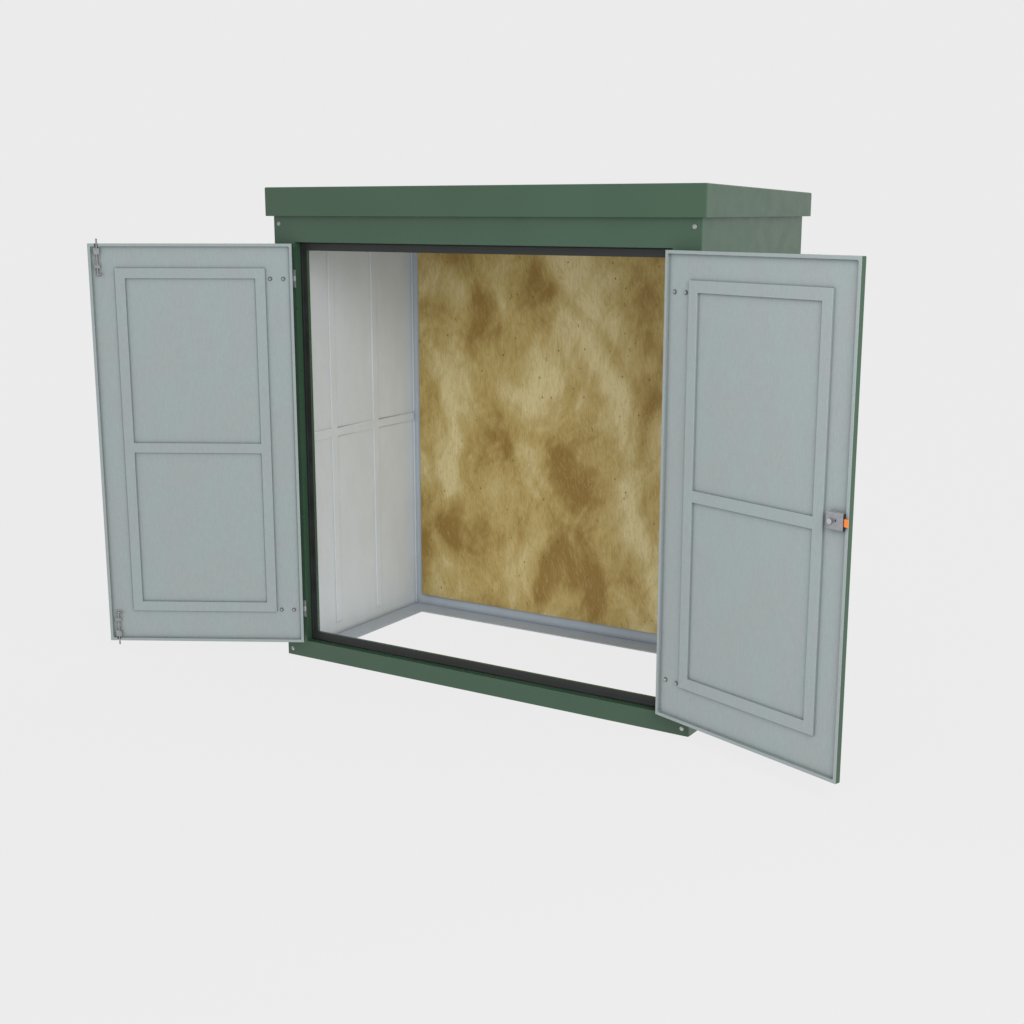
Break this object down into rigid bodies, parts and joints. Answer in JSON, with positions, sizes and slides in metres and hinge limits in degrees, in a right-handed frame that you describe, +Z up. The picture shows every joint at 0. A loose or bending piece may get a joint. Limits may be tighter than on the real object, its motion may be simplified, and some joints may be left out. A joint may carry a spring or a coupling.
{
  "type": "fibreglass walk-in enclosure",
  "caption": "Free-standing fibreglass equipment enclosure with a sloping lid, double doors on hinges, tower bolts, a rim lock and a plywood backboard.",
  "frame": {"origin": "middle of the front sill's underside, on the ground", "axes": "+X to the right along the front, +Y from the doors towards the back, +Z up"},
  "size_m": [3.3512, 1.4982, 2.075],
  "materials": {
    "green_gelcoat": "satin gelcoat",
    "grey_flowcoat": "brushed flowcoat over laminate",
    "black_rubber": "closed-cell foam rubber",
    "plywood": "varnished birch face",
    "stainless_steel": "brushed",
    "lock_enamel": "grey enamel",
    "black_enamel": "black enamel",
    "orange_latch": "orange coated"
  },
  "bodies": {
    "enclosure": {"front_sill": "green_gelcoat", "front_header": "green_gelcoat", "left_front_jamb": "green_gelcoat", "right_front_jamb": "green_gelcoat", "door_seal": "black_rubber", "left_wall": "green_gelcoat", "right_wall": "green_gelcoat", "rear_wall": "green_gelcoat", "left_wall_ribs": "grey_flowcoat", "right_wall_ribs": "grey_flowcoat", "left_base_flange": "grey_flowcoat", "right_base_flange": "grey_flowcoat", "rear_base_flange": "grey_flowcoat", "backboard": "plywood", "lid": "green_gelcoat", "frame_corner_bolts": "stainless_steel", "left_upper_hinge_frame_leaf": "stainless_steel", "left_lower_hinge_frame_leaf": "stainless_steel", "right_upper_hinge_frame_leaf": "stainless_steel", "right_lower_hinge_frame_leaf": "stainless_steel"},
    "left_door": {"left_door_skin": "green_gelcoat", "left_door_lining": "grey_flowcoat", "left_door_ribs": "grey_flowcoat", "left_upper_hinge_door_leaf": "stainless_steel", "left_lower_hinge_door_leaf": "stainless_steel", "left_hinge_bolts": "stainless_steel", "upper_tower_bolt_plate": "stainless_steel", "lower_tower_bolt_plate": "stainless_steel"},
    "right_door": {"right_door_skin": "green_gelcoat", "right_door_lining": "grey_flowcoat", "right_door_ribs": "grey_flowcoat", "right_upper_hinge_door_leaf": "stainless_steel", "right_lower_hinge_door_leaf": "stainless_steel", "right_hinge_bolts": "stainless_steel", "lock_case": "lock_enamel", "lock_faceplate": "black_enamel", "lock_cylinder": "stainless_steel"},
    "upper_tower_bolt": {"upper_tower_bolt_rod": "stainless_steel"},
    "lower_tower_bolt": {"lower_tower_bolt_rod": "stainless_steel"},
    "lock_knob": {"lock_knob": "stainless_steel"},
    "lock_latch": {"lock_latch": "orange_latch"}
  },
  "joints": [
    {"name": "left_door_hinge", "type": "hinge", "parent": "enclosure", "child": "left_door", "pos_m": [-0.8844, -0.033, 0.96], "axis": [0, 0, 1], "range_deg": [-24.7, 150.3]},
    {"name": "right_door_hinge", "type": "hinge", "parent": "enclosure", "child": "right_door", "pos_m": [0.8844, -0.033, 0.96], "axis": [0, 0, -1], "range_deg": [-14.9, 160.1]},
    {"name": "upper_tower_bolt_slide", "type": "slide", "parent": "left_door", "child": "upper_tower_bolt", "axis": [0, 0, -1], "range_m": [0, 0.026]},
    {"name": "lower_tower_bolt_slide", "type": "slide", "parent": "left_door", "child": "lower_tower_bolt", "axis": [0, 0, 1], "range_m": [0, 0.026]},
    {"name": "lock_knob_turn", "type": "hinge", "parent": "right_door", "child": "lock_knob", "pos_m": [1.63878, -0.35341, 0.986], "axis": [-0.3404, -0.9403, 0], "range_deg": [0, 70]},
    {"name": "lock_latch_slide", "type": "slide", "parent": "right_door", "child": "lock_latch", "axis": [-0.9403, 0.3404, 0], "range_m": [0, 0.012]}
  ],
  "couplings": [
    {"joint": "lock_latch_slide", "follows": "lock_knob_turn", "m_per_rad": 0.0098}
  ]
}
